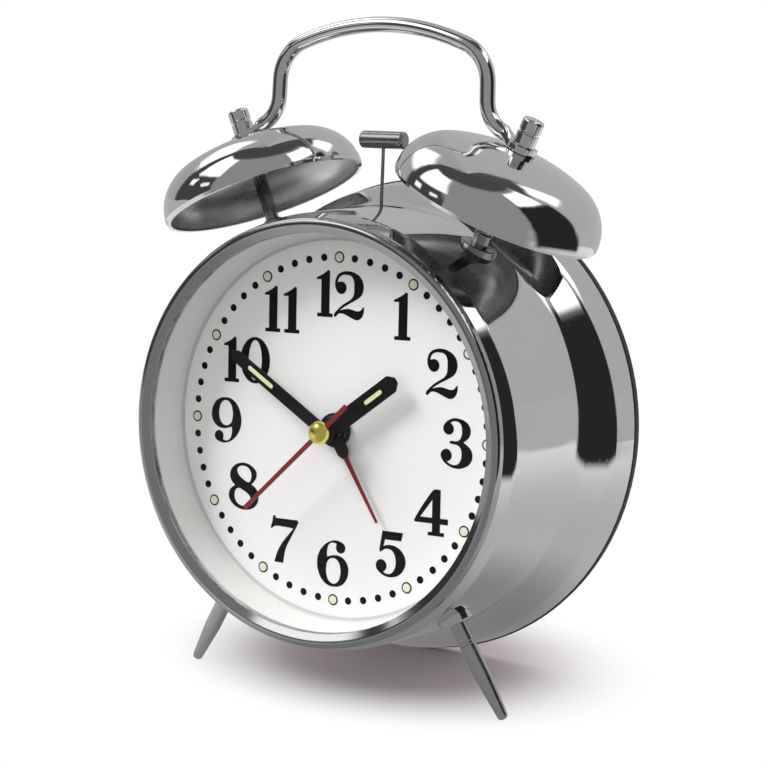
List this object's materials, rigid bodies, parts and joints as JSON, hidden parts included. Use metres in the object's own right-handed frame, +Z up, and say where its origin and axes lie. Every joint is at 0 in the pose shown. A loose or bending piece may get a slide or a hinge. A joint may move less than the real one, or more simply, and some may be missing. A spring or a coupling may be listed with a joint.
{
  "type": "alarm clock",
  "caption": "Twin-bell alarm clock: chromed drum leaning back on splayed feet, white dial with four hands, domed bells, striker, wire handle, and knobs on the black back.",
  "frame": {"origin": "on the floor under the middle of the whole clock's box", "axes": "+Z up, dial facing -Y and leaning back, +X to the reader's right"},
  "size_m": [0.119, 0.0694, 0.1596],
  "materials": {
    "chrome": "polished chrome plate on steel",
    "steel": "plain bright steel",
    "iron": "soft iron and magnet, dull grey",
    "brass": "polished brass",
    "copper": "lacquered copper wire, brass density stands in for copper",
    "lens_glass": "clear flat glass",
    "dial_white": "white printed sheet, satin",
    "black_plastic": "black moulded plastic, fine grain",
    "frame_plastic": "dark grey moulded plastic",
    "gear_plastic": "natural acetal",
    "board": "green laminate",
    "cell_jacket": "plain printed foil jacket",
    "hand_black": "black lacquer",
    "hand_red": "dark red lacquer",
    "lume": "pale green luminous paste"
  },
  "bodies": {
    "case": {"case_drum": "chrome", "front_bezel": "chrome", "front_lens": "lens_glass", "dial_surround": "dial_white", "dial": "dial_white", "dial_nut": "hand_black", "inner_frame": "frame_plastic", "back_cover": "black_plastic", "back_screws": "steel", "battery": "cell_jacket", "contact_plus": "steel", "contact_minus": "steel", "bell_cap_nuts": "chrome", "carry_handle": "chrome", "foot_collars": "chrome", "movement_tray": "frame_plastic", "movement_middle_plate": "frame_plastic", "movement_lid": "frame_plastic", "movement_screws": "steel", "circuit_board": "board", "quartz_crystal": "steel", "step_stator": "iron", "step_coil": "copper", "ringer_plate": "steel", "ringer_screws": "steel", "ringer_yoke": "iron", "ringer_coils": "copper", "hammer_pivot_pin": "steel", "bell_left": "chrome", "bell_post_left": "chrome", "foot_left": "chrome", "bell_right": "chrome", "bell_post_right": "chrome", "foot_right": "chrome"},
    "rotor": {"rotor_pinion": "gear_plastic", "rotor_magnet": "iron"},
    "intermediate": {"intermediate_wheel": "gear_plastic"},
    "seconds": {"seconds_wheel": "gear_plastic", "second_hand": "hand_red", "hand_cap": "brass"},
    "third": {"third_wheel": "gear_plastic"},
    "centre": {"centre_wheel": "gear_plastic"},
    "minute": {"minute_pinion": "gear_plastic", "minute_hand": "hand_black", "minute_hand_lume": "lume"},
    "motion": {"motion_wheel": "gear_plastic", "time_knob": "black_plastic"},
    "hour": {"hour_wheel": "gear_plastic", "hour_hand": "hand_black", "hour_hand_lume": "lume"},
    "alarm": {"alarm_wheel": "gear_plastic", "alarm_hand": "hand_red"},
    "alarm_setting": {"alarm_pinion": "gear_plastic", "alarm_knob": "black_plastic"},
    "hammer": {"hammer_rocker": "iron", "hammer_rod": "chrome", "hammer_head": "chrome"},
    "switch": {"alarm_switch": "black_plastic", "switch_keeper": "black_plastic"},
    "door": {"battery_door": "black_plastic"}
  },
  "joints": [
    {"name": "rotor_turn", "type": "hinge", "parent": "case", "child": "rotor", "pos_m": [0, -0.0135, 0.07878], "axis": [0, 0.9899, -0.1418], "continuous": true},
    {"name": "intermediate_turn", "type": "hinge", "parent": "case", "child": "intermediate", "pos_m": [0, -0.0145, 0.07185], "axis": [0, 0.9899, -0.1418], "continuous": true},
    {"name": "seconds_turn", "type": "hinge", "parent": "case", "child": "seconds", "pos_m": [0, -0.01552, 0.06472], "axis": [0, 0.9899, -0.1418], "continuous": true},
    {"name": "third_turn", "type": "hinge", "parent": "case", "child": "third", "pos_m": [0, -0.01697, 0.05462], "axis": [0, 0.9899, -0.1418], "continuous": true},
    {"name": "centre_turn", "type": "hinge", "parent": "case", "child": "centre", "pos_m": [0, -0.01552, 0.06472], "axis": [0, 0.9899, -0.1418], "continuous": true},
    {"name": "minute_turn", "type": "hinge", "parent": "case", "child": "minute", "pos_m": [0, -0.01552, 0.06472], "axis": [0, 0.9899, -0.1418], "continuous": true},
    {"name": "motion_turn", "type": "hinge", "parent": "case", "child": "motion", "pos_m": [0.011, -0.01552, 0.06472], "axis": [0, 0.9899, -0.1418], "continuous": true},
    {"name": "hour_turn", "type": "hinge", "parent": "case", "child": "hour", "pos_m": [0, -0.01552, 0.06472], "axis": [0, 0.9899, -0.1418], "continuous": true},
    {"name": "alarm_knob_turn", "type": "hinge", "parent": "case", "child": "alarm_setting", "pos_m": [-0.0115, -0.01552, 0.06472], "axis": [0, 0.9899, -0.1418], "continuous": true},
    {"name": "alarm_turn", "type": "hinge", "parent": "case", "child": "alarm", "pos_m": [0, -0.01552, 0.06472], "axis": [0, 0.9899, -0.1418], "continuous": true},
    {"name": "hammer_swing", "type": "hinge", "parent": "case", "child": "hammer", "pos_m": [0, 0.00641, 0.10148], "axis": [0, 0.9899, -0.1418], "range_deg": [-8.1, 8.1], "stiffness_Nm_per_rad": 0.004},
    {"name": "switch_slide", "type": "slide", "parent": "case", "child": "switch", "axis": [1, 0, 0], "range_m": [0, 0.004]},
    {"name": "door_lift", "type": "slide", "parent": "case", "child": "door", "axis": [0, 0.9899, -0.1418], "range_m": [0, 0.03]}
  ],
  "couplings": [
    {"joint": "intermediate_turn", "follows": "rotor_turn", "ratio": -0.16667},
    {"joint": "seconds_turn", "follows": "rotor_turn", "ratio": 0.033333},
    {"joint": "third_turn", "follows": "rotor_turn", "ratio": -0.0044444},
    {"joint": "centre_turn", "follows": "rotor_turn", "ratio": 0.00055556},
    {"joint": "motion_turn", "follows": "minute_turn", "ratio": -0.33333},
    {"joint": "hour_turn", "follows": "minute_turn", "ratio": 0.083333},
    {"joint": "alarm_turn", "follows": "alarm_knob_turn", "ratio": -0.33333}
  ]
}
